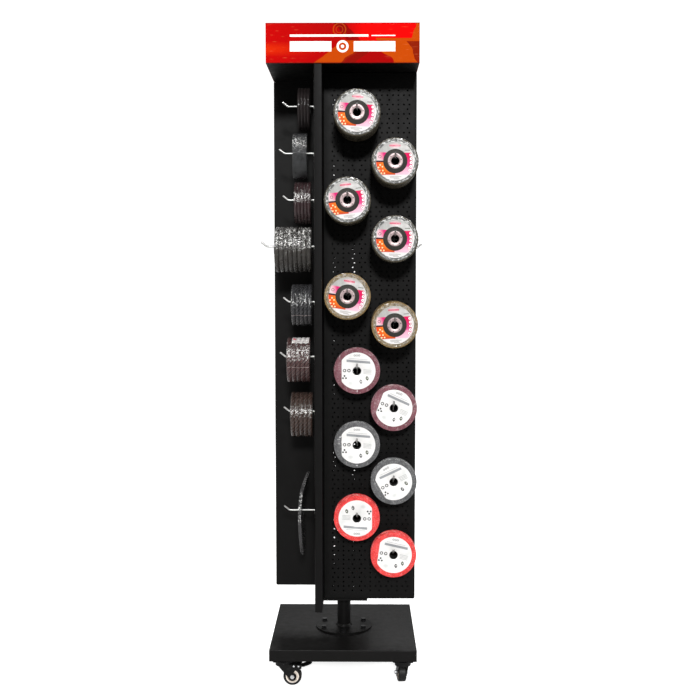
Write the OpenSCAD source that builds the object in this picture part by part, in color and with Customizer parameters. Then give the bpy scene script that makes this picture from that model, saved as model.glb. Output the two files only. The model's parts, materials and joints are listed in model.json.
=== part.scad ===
/* [Base] */
// Width and depth of the square base deck
base_w = 400; // [380:10:460]
// Height of the deck's folded lips, top sheet included
base_h = 31.5; // [31.5:0.5:40]
// Sheet thickness of the deck
deck_t = 1.5; // [1:0.5:2]
// Height of a rectangular rail under the deck
rail_h = 30; // [30:1:30]
// Width of a rectangular rail under the deck
rail_w = 60; // [60:1:64]
// Wall of a rail
rail_wall = 2; // [1.5:0.5:2.5]

/* [Casters] */
// Diameter of a caster wheel
wheel_d = 50; // [46:1:50]
// Width of a caster tyre
tyre_w = 22; // [20:1:22]
// Distance of a wheel's axle behind its swivel axis
trail = 25; // [23:1:26]
// Distance of a swivel axis from the centre lines of the base
caster_xy = 163.5; // [160:0.5:166]
// Clearance on the radius of every running fit
fit = 0.05; // [0.03:0.01:0.1]
// Heading of the front left caster
heading_fl = 0; // [-180:5:180]
// Heading of the front right caster
heading_fr = 96; // [-180:1:180]
// Heading of the rear left caster
heading_rl = 60; // [-180:5:180]
// Heading of the rear right caster
heading_rr = 125; // [-180:5:180]

/* [Post] */
// Outer diameter of the post
post_d = 38; // [36:1:40]
// Wall of the post
post_wall = 2.5; // [2:0.5:3]
// Height of the post's top above the floor
post_top = 1700; // [1700:5:1720]
// Diameter of the flange at the foot of the post
flange_d = 160; // [156:2:170]
// Thickness of the flange
flange_t = 5; // [4:1:6]
// Bolt circle of the flange
flange_pcd = 130; // [126:2:134]
// Number of flange bolts
flange_bolt_count = 6; // [4:1:6]

/* [Panels] */
// Width of one pegboard panel
panel_w = 255; // [240:5:270]
// Height of one pegboard panel
panel_h = 1458; // [1458:1:1470]
// Depth of the folded edges of a panel
panel_t = 20; // [20:1:20]
// Sheet thickness of a panel
sheet = 1.5; // [1:0.5:1.5]
// Gap between the deck and the lower edge of the panels
panel_gap = 103.5; // [100:0.5:110]
// Distance from the post's axis to the outer face of a panel
face_off = 75; // [75:1:75]

/* [Peg holes] */
// Diameter of a peg hole
peg_d = 5; // [4:0.5:5.5]
// Vertical distance between rows
row_pitch = 25.2; // [25:0.1:25.2]
// Distance between holes along a row
hole_pitch = 25; // [25:1:25]
// Height of the lowest row above the panel's lower edge
first_row = 23.5; // [22:0.5:26]

/* [Header] */
// Width of the square header box
header_w = 400; // [380:10:440]
// Height of the header box
header_h = 102.5; // [90:0.5:120]
// Thickness of the printed graphic sheets
graphic_t = 1; // [1:0.5:1.5]

/* [Hooks] */
// Diameter of the hook wire
wire_d = 5; // [5:0.5:5.5]
// Diameter of the hook's prongs
prong_d = 4; // [3.5:0.5:4]
// Angle of the hook's raised tip
tip_angle = 38; // [30:1:45]
// Length of the straight part of the tip
tip_length = 16; // [12:1:18]

/* [Disc packs] */
// Bore of every disc
bore_d = 22; // [22:1:23]
// Diameter of the common discs
disc_d = 125; // [115:5:125]
// Diameter of the smaller discs
small_disc_d = 115; // [100:5:115]
// Diameter of the large cutting discs
large_disc_d = 230; // [180:10:230]

/* [Hidden] */
$fn = 48;

black = "#1b1b1d";
zinc = "#c9ccd0";
header_red = "#c8281c";

// Heights above the floor
rail_z = 76;
deck_z = rail_z + base_h;
deck_under = deck_z - deck_t;
panel_z = deck_z + panel_gap;
panel_top = panel_z + panel_h;
header_top = panel_top + header_h;

// Headings of the panels: front, left, back, right
PANEL_TURNS = [0, -90, 180, 90];
core = face_off - panel_t;
panel_end = panel_w - core;

// Caster heights
wheel_r = wheel_d / 2;
crown_z = 56;
crown_t = 2.5;
cup_r = 22;
cup_top = 68;
plate_t = 2.5;
plate_z = rail_z - plate_t;
plate_w = 60;
caster_bolt_xy = 22;
kingpin_r = 5;
boss_r = 14.7;
boss_z = 60;
ball_r = 2.4;
ball_ring_r = 17.3;
ball_z = 64.5;
balls = 14;
leg_in = 12;
leg_t = 2;
fork_back = -16;
fork_nose = 51;
axle_r = 3;
pedal_x = 14;
pedal_z = 53.5;
pedal_pin_r = 2;

// Bearing sizes and heights
post_r = post_d / 2;
bush_r = 22;
hub_r = 27;
collar_z = panel_z - 23;
washer_z = collar_z + 11;
grub_r = 3;
hub_z = washer_z + 2;
end_gap = 0.05;
seat = 0.02;
lower_hub_top = 240;
upper_hub_z = 1650;
upper_hub_top = 1690;
hub_flange_r = 45;
hub_flange_t = 4;
hub_bolt_r = 36;
bottom_plate_w = 134;
bottom_plate_t = 3;
lip_h = 5.5;

// Screw positions on a panel: along its width, and up its height
corner_screw_z = [60, 480, 960, 1400];
bottom_screw_x = [-30, 30];
header_bolt_x = [-20, 150];
m5_r = 2.4;
m5_hole = 2.7;
m6_r = 2.9;
m6_hole = 3.3;
m8_hole = 4.5;

// Hooks: places as [column, row from the top, outward reach]
short_reach = 90;
medium_reach = 100;
long_reach = 150;
top_row = 55;
FRONT_HOOKS = [
    [1, 3, long_reach], [5, 8, long_reach], [0, 12, long_reach],
    [5, 16, long_reach], [0, 22, long_reach], [5, 25, long_reach],
    [1, 30, medium_reach], [5, 34, medium_reach], [1, 38, medium_reach],
    [5, 42, medium_reach], [1, 46, medium_reach], [5, 50, medium_reach]
];
SIDE_HOOKS = [
    [3, 2, short_reach], [3, 7, medium_reach], [3, 12, short_reach], [3, 17, long_reach],
    [3, 23, short_reach], [3, 29, medium_reach], [3, 35, short_reach], [3, 46, short_reach]
];
wire_r = wire_d / 2;
prong_r = prong_d / 2;
bar_half = prong_r + 0.2;
wire_lift = 5.5;
face_gap = 0.1;
leg_drop = 18;
prong_tail = 12;

// Packs hang with the top of their bore on the wire
bore_r = bore_d / 2;
hang_gap = 0.1;

// ---------- shared shapes ----------

module ring(outer_r, inner_r, z0, z1) {
    translate([0, 0, z0]) linear_extrude(z1 - z0) difference() {
        circle(r = outer_r);
        circle(r = inner_r);
    }
}

module hex(across_flats, h) {
    cylinder(h = h, r = across_flats / sqrt(3), $fn = 6);
}

// A bolt pointing down from z = 0, with its head above
module bolt(r, shank, head_af, head_h) {
    hex(head_af, head_h);
    translate([0, 0, -shank]) cylinder(h = shank + 0.5, r = r);
}

// A button-head screw pointing down from z = 0
module screw(r, shank, head_r, head_h) {
    difference() {
        cylinder(h = head_h, r1 = head_r, r2 = head_r * 0.72);
        translate([0, 0, head_h - 1.4]) hex(r * 1.3, 2);
    }
    translate([0, 0, -shank]) cylinder(h = shank + 0.5, r = r);
}

// A nut standing on z = 0
module nut(across_flats, hole_r, h) {
    difference() {
        hex(across_flats, h);
        translate([0, 0, -1]) cylinder(h = h + 2, r = hole_r);
    }
}

module at_bolt_circle(radius, count, start = 0) {
    for (i = [0 : count - 1]) rotate([0, 0, start + i * 360 / count]) translate([radius, 0, 0]) children();
}

module at_casters() {
    for (x = [-1, 1], y = [-1, 1]) translate([x * caster_xy, y * caster_xy, 0]) children();
}

module at_caster_bolts() {
    for (x = [-1, 1], y = [-1, 1]) translate([x * caster_bolt_xy, y * caster_bolt_xy, 0]) children();
}

// Turns a shape drawn for the front panel to each side named by its turn
module at_panels(turns = PANEL_TURNS) {
    for (turn = turns) rotate([0, 0, turn]) children();
}

// ---------- base ----------

module deck_outline() {
    difference() {
        square(base_w, center = true);
        at_bolt_circle(flange_pcd / 2, flange_bolt_count, 30) circle(r = m8_hole);
    }
}

module base_tray() {
    color(black) {
        translate([0, 0, deck_under]) linear_extrude(deck_t) deck_outline();
        translate([0, 0, rail_z]) linear_extrude(base_h - deck_t) difference() {
            square(base_w, center = true);
            square(base_w - 2 * deck_t, center = true);
        }
    }
}

module base_rails() {
    length = base_w - 2 * deck_t;
    color(black) for (side = [-1, 1]) difference() {
        translate([side * caster_xy, length / 2, rail_z]) rotate([90, 0, 0]) linear_extrude(length) difference() {
            translate([-rail_w / 2, 0]) square([rail_w, rail_h]);
            translate([-rail_w / 2 + rail_wall, rail_wall])
                square([rail_w - 2 * rail_wall, rail_h - 2 * rail_wall]);
        }
        for (y = [-1, 1]) translate([side * caster_xy, y * caster_xy, rail_z - 1]) at_caster_bolts()
            cylinder(h = rail_wall + 2, r = m6_hole);
    }
}

module deck_stiffener() {
    width = 2 * caster_xy - rail_w;
    color(black) translate([0, 0, deck_under - flange_t]) linear_extrude(flange_t) difference() {
        square([width, flange_d + 20], center = true);
        at_bolt_circle(flange_pcd / 2, flange_bolt_count, 30) circle(r = m8_hole);
    }
}

// ---------- casters, drawn with the swivel axis on Z and the wheel trailing along +X ----------

module caster_plates() {
    color(zinc) at_casters() difference() {
        union() {
            translate([0, 0, plate_z]) linear_extrude(plate_t) square(plate_w, center = true);
            translate([0, 0, boss_z]) cylinder(h = plate_z - boss_z, r = boss_r);
        }
        translate([0, 0, boss_z - 1]) cylinder(h = plate_z + plate_t - boss_z + 2, r = kingpin_r + seat);
        translate([0, 0, plate_z - 1]) at_caster_bolts() cylinder(h = plate_t + 2, r = m6_hole);
    }
}

module caster_kingpins() {
    head_r = 8;
    head_z = 52.5;
    color(zinc) at_casters() {
        translate([0, 0, head_z]) cylinder(h = rail_z - head_z, r = kingpin_r);
        translate([0, 0, head_z]) cylinder(h = crown_z - 0.2 - head_z, r = head_r);
    }
}

module caster_balls() {
    color(zinc) at_casters() at_bolt_circle(ball_ring_r, balls) translate([0, 0, ball_z]) sphere(r = ball_r);
}

module caster_bolts() {
    nut_z = rail_z + rail_wall;
    color(zinc) at_casters() at_caster_bolts() {
        translate([0, 0, plate_z]) rotate([180, 0, 0]) bolt(m6_r, 16, 10, 4);
        translate([0, 0, nut_z]) rotate([0, 0, 30]) nut(10, m6_r + seat, 5);
    }
}

// Outline of a fork side: broad under the crown, narrow at the axle
module fork_side() {
    axle_pad = 11.5;
    top = crown_z + crown_t;
    difference() {
        union() {
            polygon([
                [fork_back, top], [fork_nose, top], [fork_nose - 1, top - 11], [trail + 8, top - 15],
                [trail + 5, wheel_r + 13], [trail, wheel_r], [trail - axle_pad, wheel_r - 2]
            ]);
            translate([trail, wheel_r]) circle(r = axle_pad);
        }
        translate([trail, wheel_r]) circle(r = axle_r + seat);
        translate([pedal_x, pedal_z]) circle(r = pedal_pin_r + fit);
    }
}

module fork() {
    cup_wall = 2;
    outer_w = 2 * (leg_in + leg_t);
    color("#2a2a2c") {
        difference() {
            union() {
                translate([0, 0, crown_z]) linear_extrude(crown_t) circle(r = cup_r);
                translate([fork_back, -outer_w / 2, crown_z]) cube([fork_nose - fork_back, outer_w, crown_t]);
                ring(cup_r, cup_r - cup_wall, crown_z + crown_t, cup_top);
            }
            translate([0, 0, crown_z - 1]) cylinder(h = crown_t + 2, r = kingpin_r + fit);
        }
        for (side = [-1, 1]) translate([0, side * (leg_in + leg_t / 2) + leg_t / 2, 0])
            rotate([90, 0, 0]) linear_extrude(leg_t) fork_side();
    }
}

module axle() {
    head_y = leg_in + leg_t + 0.1;
    color(zinc) translate([trail, 0, wheel_r]) rotate([90, 0, 0]) {
        translate([0, 0, head_y]) bolt(axle_r, 2 * head_y + 5, 10, 3);
        translate([0, 0, -head_y - 4]) nut(9, axle_r + seat, 4);
    }
}

core_r = 18;

// Half section of the wheel's core: hub, web and rim
module core_section() {
    bore = axle_r + fit;
    polygon([
        [bore, -11.6], [8, -11.6], [9, -5], [14, -5], [15, -10], [core_r, -10],
        [core_r, 10], [15, 10], [14, 5], [9, 5], [8, 11.6], [bore, 11.6]
    ]);
}

module wheel_core() {
    color("#e6dfc8") translate([trail, 0, wheel_r]) rotate([90, 0, 0]) rotate_extrude() core_section();
}

module tyre() {
    half = tyre_w / 2;
    shoulder = 3;
    color("#141414") translate([trail, 0, wheel_r]) rotate([90, 0, 0]) rotate_extrude() polygon([
        [core_r, -half + 1], [core_r + 2, -half], [wheel_r - shoulder, -half],
        [wheel_r - 0.8, -half + 1.4], [wheel_r, -half + 4],
        [wheel_r, half - 4], [wheel_r - 0.8, half - 1.4],
        [wheel_r - shoulder, half], [core_r + 2, half], [core_r, half - 1]
    ]);
}

// Flat arm between the fork sides, with its pad bent up beyond the fork's nose
module brake_pedal() {
    arm_w = 2 * leg_in - 1;
    arm_t = 2.4;
    arm_end = 58;
    pad_x = arm_end - 4;
    pad_r = 13;
    pad_length = 26;
    pad_tilt = 18;
    color("#202022") {
        translate([pedal_x - 4, -arm_w / 2, pedal_z - arm_t / 2 + 0.1])
            cube([arm_end - pedal_x + 4, arm_w, arm_t]);
        translate([pedal_x, leg_in + leg_t, pedal_z]) rotate([90, 0, 0])
            cylinder(h = 2 * (leg_in + leg_t), r = pedal_pin_r);
        translate([pad_x, 0, pedal_z - arm_t / 2]) rotate([0, -pad_tilt, 0]) linear_extrude(arm_t + 0.2) {
            translate([0, -pad_r]) square([pad_length - pad_r, 2 * pad_r]);
            translate([pad_length - pad_r, 0]) circle(r = pad_r);
        }
    }
}

// Puts a caster piece at its corner of the base
module caster(x, y, heading) {
    translate([x * caster_xy, y * caster_xy, 0]) rotate([0, 0, heading]) children();
}

module at_fl() { caster(-1, -1, heading_fl) children(); }
module at_fr() { caster(1, -1, heading_fr) children(); }
module at_rl() { caster(-1, 1, heading_rl) children(); }
module at_rr() { caster(1, 1, heading_rr) children(); }

// ---------- post and its bearings ----------

module post_flange() {
    weld = 5;
    inner = post_r + seat;
    color(black) difference() {
        union() {
            translate([0, 0, deck_z]) cylinder(h = flange_t, r = flange_d / 2);
            translate([0, 0, deck_z + flange_t]) cylinder(h = weld, r1 = post_r + weld, r2 = post_r + 0.6);
        }
        translate([0, 0, deck_z - 1]) cylinder(h = flange_t + weld + 2, r = inner);
        translate([0, 0, deck_z - 1]) at_bolt_circle(flange_pcd / 2, flange_bolt_count, 30)
            cylinder(h = flange_t + 2, r = m8_hole);
    }
}

module flange_bolts() {
    top = deck_z + flange_t;
    washer_t = 1.6;
    nut_h = 6.5;
    color("#3a3a3c") at_bolt_circle(flange_pcd / 2, flange_bolt_count, 30) {
        translate([0, 0, top + washer_t]) bolt(4, 24, 13, 5.3);
        ring(8, 4.2, top, top + washer_t);
        translate([0, 0, deck_under - flange_t - nut_h]) nut(13, 4 + seat, nut_h);
    }
}

module post() {
    color(black) ring(post_r, post_r - post_wall, deck_z, post_top);
}

module post_cap() {
    inner = post_r - post_wall - 0.1;
    color("#101010") {
        translate([0, 0, post_top]) cylinder(h = 4, r1 = post_r, r2 = post_r - 1.5);
        translate([0, 0, post_top - 15]) cylinder(h = 15.5, r = inner);
    }
}

module stop_collar() {
    color(black) difference() {
        ring(hub_r, post_r + seat, collar_z, washer_z);
        translate([0, 0, (collar_z + washer_z) / 2]) rotate([0, 90, 0]) cylinder(h = hub_r + 2, r = grub_r + seat);
    }
}

// Grub screw that locks the stop collar to the post
module collar_screw() {
    length = 7.5;
    color(zinc) translate([hub_r - length, 0, (collar_z + washer_z) / 2]) rotate([0, 90, 0]) difference() {
        cylinder(h = length, r = grub_r);
        translate([0, 0, length - 3]) hex(3, 4);
    }
}

module thrust_washer() {
    color("#8a7a50") ring(hub_r, post_r + fit, washer_z, hub_z);
}

module bush(z0, z1) {
    color("#b8a070") ring(bush_r, post_r + fit, z0, z1);
}

// A bearing housing with a bolted flange whose underside is at flange_z
module hub(z0, z1, flange_z) {
    color(black) difference() {
        union() {
            translate([0, 0, z0]) cylinder(h = z1 - z0, r = hub_r);
            translate([0, 0, flange_z]) cylinder(h = hub_flange_t, r = hub_flange_r);
        }
        translate([0, 0, z0 - 1]) cylinder(h = z1 - z0 + 2, r = bush_r + seat);
        translate([0, 0, flange_z - 1]) at_bolt_circle(hub_bolt_r, 4, 45)
            cylinder(h = hub_flange_t + 2, r = m5_hole);
    }
}

module bottom_plate() {
    half = bottom_plate_w / 2;
    color(black) {
        translate([0, 0, panel_z - bottom_plate_t]) linear_extrude(bottom_plate_t) difference() {
            square(bottom_plate_w, center = true);
            circle(r = hub_r + seat);
            at_bolt_circle(hub_bolt_r, 4, 45) circle(r = m5_hole);
            at_panels() for (x = bottom_screw_x) translate([x, -core - 5.5]) circle(r = m5_hole);
        }
        translate([0, 0, panel_z - bottom_plate_t - lip_h]) linear_extrude(lip_h) difference() {
            square(bottom_plate_w, center = true);
            square(bottom_plate_w - 2 * sheet, center = true);
        }
    }
}

// ---------- pegboard panels, drawn as the front one ----------

module peg_sheet() {
    difference() {
        translate([-core, 0]) square([panel_w, panel_h]);
        for (row = [0 : top_row], k = [-1 : 7])
            translate([k * hole_pitch, first_row + row * row_pitch]) circle(d = peg_d);
    }
}

module panel_edges() {
    depth = panel_t - sheet;
    mid_depth = face_off - panel_t / 2;
    difference() {
        translate([0, -core, 0]) rotate([90, 0, 0]) linear_extrude(depth) difference() {
            translate([-core, 0]) square([panel_w, panel_h]);
            translate([-core + sheet, sheet]) square([panel_w - 2 * sheet, panel_h - 2 * sheet]);
        }
        for (z = corner_screw_z) translate([-core - 1, -mid_depth, z]) rotate([0, 90, 0]) cylinder(h = 4, r = m5_hole);
        for (x = bottom_screw_x) translate([x, -core - 5.5, -1]) cylinder(h = 4, r = m5_hole);
        for (x = header_bolt_x) translate([x, -mid_depth, panel_h - 3]) cylinder(h = 4, r = m6_hole);
    }
}

module panel() {
    color(black) translate([0, 0, panel_z]) {
        translate([0, -face_off + sheet, 0]) rotate([90, 0, 0]) linear_extrude(sheet) peg_sheet();
        panel_edges();
    }
}

// Blank sheet that closes the back of a panel where it stands out as a fin
module fin_cover() {
    mid_depth = face_off - panel_t / 2;
    cover_w = panel_end - sheet - core;
    translate([0, 0, panel_z]) difference() {
        translate([core, -core - sheet, sheet]) cube([cover_w, sheet, panel_h - 2 * sheet]);
        for (z = corner_screw_z) translate([mid_depth, -core + 1, z]) rotate([90, 0, 0]) cylinder(h = 4, r = m5_hole);
    }
}

module fin_covers() {
    color(black) at_panels() fin_cover();
}

// A screw through a panel's end edge into the next panel's cover, with its nut
module corner_screw() {
    translate([-core + sheet, 0, 0]) rotate([0, 90, 0]) screw(m5_r, 9, 4.25, 2.8);
    translate([-core - sheet - 4, 0, 0]) rotate([0, 90, 0]) nut(8, m5_r + seat, 4);
}

module hub_screws(flange_z, sheet_t) {
    at_bolt_circle(hub_bolt_r, 4, 45) {
        translate([0, 0, flange_z + hub_flange_t]) screw(m5_r, hub_flange_t + sheet_t + 6, 4.25, 2.8);
        translate([0, 0, flange_z - sheet_t - 4 - seat]) nut(8, m5_r + seat, 4);
    }
}

module m5_screws() {
    mid_depth = face_off - panel_t / 2;
    color(zinc) {
        at_panels() for (z = corner_screw_z) translate([0, -mid_depth, panel_z + z]) corner_screw();
        at_panels() for (x = bottom_screw_x) translate([x, -core - 5.5, panel_z]) {
            translate([0, 0, -bottom_plate_t]) rotate([180, 0, 0]) screw(m5_r, 10, 4.25, 2.8);
            translate([0, 0, sheet]) nut(8, m5_r + seat, 4);
        }
        hub_screws(panel_z, bottom_plate_t);
        hub_screws(panel_top + sheet, sheet);
    }
}

// ---------- header ----------

box_half = header_w / 2 - graphic_t;

module header_box() {
    mid_depth = face_off - panel_t / 2;
    color(black) {
        translate([0, 0, panel_top]) linear_extrude(sheet) difference() {
            square(2 * box_half, center = true);
            circle(r = hub_r + seat);
            at_bolt_circle(hub_bolt_r, 4, 45) circle(r = m5_hole);
            at_panels() for (x = header_bolt_x) translate([x, -mid_depth]) circle(r = m6_hole);
        }
        translate([0, 0, panel_top + sheet]) linear_extrude(header_h - 2 * sheet) difference() {
            square(2 * box_half, center = true);
            square(2 * (box_half - sheet), center = true);
        }
    }
}

module header_lid() {
    lip = 10;
    lip_half = box_half - sheet - 0.1;
    color(black) {
        translate([0, 0, header_top - sheet]) linear_extrude(sheet) square(2 * box_half, center = true);
        translate([0, 0, header_top - sheet - lip]) linear_extrude(lip) difference() {
            square(2 * lip_half, center = true);
            square(2 * (lip_half - sheet), center = true);
        }
    }
}

module header_graphics() {
    side_w = header_w - 2 * graphic_t;
    color(header_red) for (turn = [0, 180]) rotate([0, 0, turn]) {
        translate([-header_w / 2, -header_w / 2, panel_top]) cube([header_w, graphic_t, header_h]);
        translate([header_w / 2 - graphic_t, -side_w / 2, panel_top]) cube([graphic_t, side_w, header_h]);
    }
}

module header_bolts() {
    mid_depth = face_off - panel_t / 2;
    color(zinc) at_panels() for (x = header_bolt_x) translate([x, -mid_depth, panel_top]) {
        translate([0, 0, sheet]) bolt(m6_r, 12, 10, 4);
        translate([0, 0, -sheet - 5]) nut(10, m6_r + seat, 5);
    }
}

// ---------- hooks, drawn on a face at y = 0 with the wire going out along -Y ----------

// A bent length of wire in the YZ plane, from +Y turning towards +Z
module wire_bend(r, bend_r, start, angle) {
    rotate([90, 0, 90]) rotate([0, 0, start]) rotate_extrude(angle = angle) translate([bend_r, 0]) circle(r = r);
}

// Square cross bar that is welded to the hook's leg, with its two prongs
module cross_bar() {
    bar_end = hole_pitch / 2 + prong_r;
    bar_y = -wire_r - face_gap;
    bend_r = 2.5;
    tail_y = sheet + prong_r + 1;
    translate([-bar_end, bar_y - bar_half, -bar_half]) cube([2 * bar_end, 2 * bar_half, 2 * bar_half]);
    for (side = [-1, 1]) translate([side * hole_pitch / 2, 0, 0]) {
        translate([0, bar_y, 0]) rotate([-90, 0, 0]) cylinder(h = tail_y - bend_r - bar_y, r = prong_r);
        translate([0, tail_y - bend_r, bend_r]) wire_bend(prong_r, bend_r, -90, 90);
        translate([0, tail_y, bend_r]) cylinder(h = prong_tail - bend_r, r = prong_r);
    }
}

module hook(reach) {
    wire_y = -wire_r - face_gap;
    elbow_r = 3;
    tip_bend_r = 8;
    tip_r = wire_r - 0.05;
    tip_overlap = 0.5;
    cap = 1;
    straight = reach - cap - tip_bend_r * sin(tip_angle) - tip_length * cos(tip_angle);
    translate([0, wire_y, -leg_drop]) cylinder(h = leg_drop + wire_lift - elbow_r, r = wire_r);
    translate([0, wire_y - elbow_r, wire_lift - elbow_r]) wire_bend(wire_r, elbow_r, 0, 90);
    translate([0, wire_y - elbow_r, wire_lift]) rotate([90, 0, 0])
        cylinder(h = straight + wire_y - elbow_r + tip_overlap, r = wire_r);
    translate([0, -straight, wire_lift + tip_bend_r]) {
        wire_bend(tip_r, tip_bend_r, -90 - tip_angle, tip_angle);
        rotate([-tip_angle, 0, 0]) translate([0, 0, -tip_bend_r]) rotate([90, 0, 0]) {
            cylinder(h = tip_length, r = tip_r);
            translate([0, 0, tip_length]) cylinder(h = cap, r1 = tip_r, r2 = tip_r - cap);
        }
    }
    cross_bar();
}

// Height of a row of peg holes, counted down from the highest
function row_z(row) = panel_z + first_row + (top_row - row) * row_pitch;

// Middle between the two holes that a hook in this column uses
function hook_x(column) = (column + 0.5) * hole_pitch;

module at_hook(place) {
    translate([hook_x(place[0]), -face_off, row_z(place[1])]) children();
}

module hooks_of(reach) {
    color(zinc) {
        at_panels([0, 180]) for (place = FRONT_HOOKS) if (place[2] == reach) at_hook(place) hook(reach);
        at_panels([-90, 90]) for (place = SIDE_HOOKS) if (place[2] == reach) at_hook(place) hook(reach);
    }
}

// ---------- packs of abrasive discs that hang on the hooks ----------

// One pack, from its back face to its front face, measured out from the panel
module pack(d, back, front) {
    drop = wire_lift + wire_r + hang_gap - bore_r;
    translate([0, -back, drop]) rotate([90, 0, 0]) linear_extrude(front - back) difference() {
        circle(r = d / 2);
        circle(r = bore_r);
    }
}

flap_back = 12;
flap_front = 129;
fibre_back = 48;
fibre_front = 79;

module front_packs(list, back, front) {
    at_panels([0, 180]) for (i = list) at_hook(FRONT_HOOKS[i]) pack(disc_d, back, front);
}

module side_pack(i, d, back, front) {
    at_panels([-90, 90]) at_hook(SIDE_HOOKS[i]) pack(d, back, front);
}

module grey_flap_packs() { color("#6c6a66") front_packs([0, 1, 2, 3], flap_back, flap_front); }
module tan_flap_packs() { color("#8c7648") front_packs([4, 5], flap_back, flap_front); }
module maroon_fibre_packs() { color("#6e3a42") front_packs([6, 7], fibre_back, fibre_front); }
module grey_fibre_packs() { color("#4c4c4e") front_packs([8, 9], fibre_back, fibre_front); }
module red_fibre_packs() { color("#d42c2c") front_packs([10, 11], fibre_back, fibre_front); }

module slim_disc_packs() {
    color("#3a2a2a") {
        side_pack(0, small_disc_d, 14, 47);
        side_pack(2, small_disc_d, 12, 57);
    }
}

module grey_side_packs() {
    color("#5a5a5c") {
        side_pack(1, disc_d, 22, 60);
        side_pack(3, disc_d, 11, 110);
        side_pack(4, small_disc_d, 10, 65);
    }
}

module brown_side_packs() {
    color("#5a4038") {
        side_pack(5, disc_d, 15, 78);
        side_pack(6, disc_d, 9, 68);
    }
}

module large_disc_packs() {
    color("#3c3c3e") side_pack(7, large_disc_d, 37, 45);
}

// ---------- nodes ----------

base_tray();
base_rails();
deck_stiffener();
caster_plates();
caster_kingpins();
caster_balls();
caster_bolts();
post_flange();
flange_bolts();
post();
post_cap();
stop_collar();
collar_screw();
thrust_washer();
at_fl() fork();  // fork_fl
at_fl() axle();  // axle_fl
at_fl() wheel_core();  // wheel_core_fl
at_fl() tyre();  // tyre_fl
at_fl() brake_pedal();  // brake_pedal_fl
at_fr() fork();  // fork_fr
at_fr() axle();  // axle_fr
at_fr() wheel_core();  // wheel_core_fr
at_fr() tyre();  // tyre_fr
at_fr() brake_pedal();  // brake_pedal_fr
at_rl() fork();  // fork_rl
at_rl() axle();  // axle_rl
at_rl() wheel_core();  // wheel_core_rl
at_rl() tyre();  // tyre_rl
at_rr() fork();  // fork_rr
at_rr() axle();  // axle_rr
at_rr() wheel_core();  // wheel_core_rr
at_rr() tyre();  // tyre_rr
at_panels([PANEL_TURNS[0]]) panel();  // panel_front
at_panels([PANEL_TURNS[1]]) panel();  // panel_left
at_panels([PANEL_TURNS[2]]) panel();  // panel_back
at_panels([PANEL_TURNS[3]]) panel();  // panel_right
fin_covers();
bottom_plate();
hub(hub_z + end_gap, lower_hub_top, panel_z);  // lower_hub
bush(hub_z + end_gap, lower_hub_top);  // lower_bush
hub(upper_hub_z, upper_hub_top, panel_top + sheet);  // upper_hub
bush(upper_hub_z, upper_hub_top);  // upper_bush
m5_screws();
header_box();
header_lid();
header_graphics();
header_bolts();
hooks_of(short_reach);  // short_hooks
hooks_of(medium_reach);  // medium_hooks
hooks_of(long_reach);  // long_hooks
grey_flap_packs();
tan_flap_packs();
maroon_fibre_packs();
grey_fibre_packs();
red_fibre_packs();
slim_disc_packs();
grey_side_packs();
brown_side_packs();
large_disc_packs();
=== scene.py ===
"""Looks of a rotating pegboard display: pegboards, disc packs, header print, finishes and studio."""

import json
import math
import random

import bmesh
import bpy
from mathutils import Matrix, Vector


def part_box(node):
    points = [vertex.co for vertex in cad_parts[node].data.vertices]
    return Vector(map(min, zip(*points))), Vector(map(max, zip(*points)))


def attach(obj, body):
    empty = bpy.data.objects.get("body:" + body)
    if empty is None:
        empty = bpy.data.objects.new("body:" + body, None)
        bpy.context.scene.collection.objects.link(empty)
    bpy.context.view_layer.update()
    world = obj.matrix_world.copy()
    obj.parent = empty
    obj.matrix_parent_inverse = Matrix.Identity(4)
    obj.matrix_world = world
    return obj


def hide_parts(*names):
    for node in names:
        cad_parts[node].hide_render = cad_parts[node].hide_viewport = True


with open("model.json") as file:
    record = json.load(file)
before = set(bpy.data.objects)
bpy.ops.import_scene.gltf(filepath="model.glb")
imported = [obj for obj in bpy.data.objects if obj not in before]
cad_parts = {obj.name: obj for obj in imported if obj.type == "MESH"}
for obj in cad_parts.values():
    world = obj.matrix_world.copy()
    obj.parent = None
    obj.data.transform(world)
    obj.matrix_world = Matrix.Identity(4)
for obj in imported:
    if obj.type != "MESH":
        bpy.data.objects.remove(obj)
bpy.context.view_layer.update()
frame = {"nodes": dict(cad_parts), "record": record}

MM = 0.001
BORE_R = 11 * MM
SIDES = {"front": 0, "left": -90, "back": 180, "right": 90}


# ---------- node materials ----------

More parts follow.
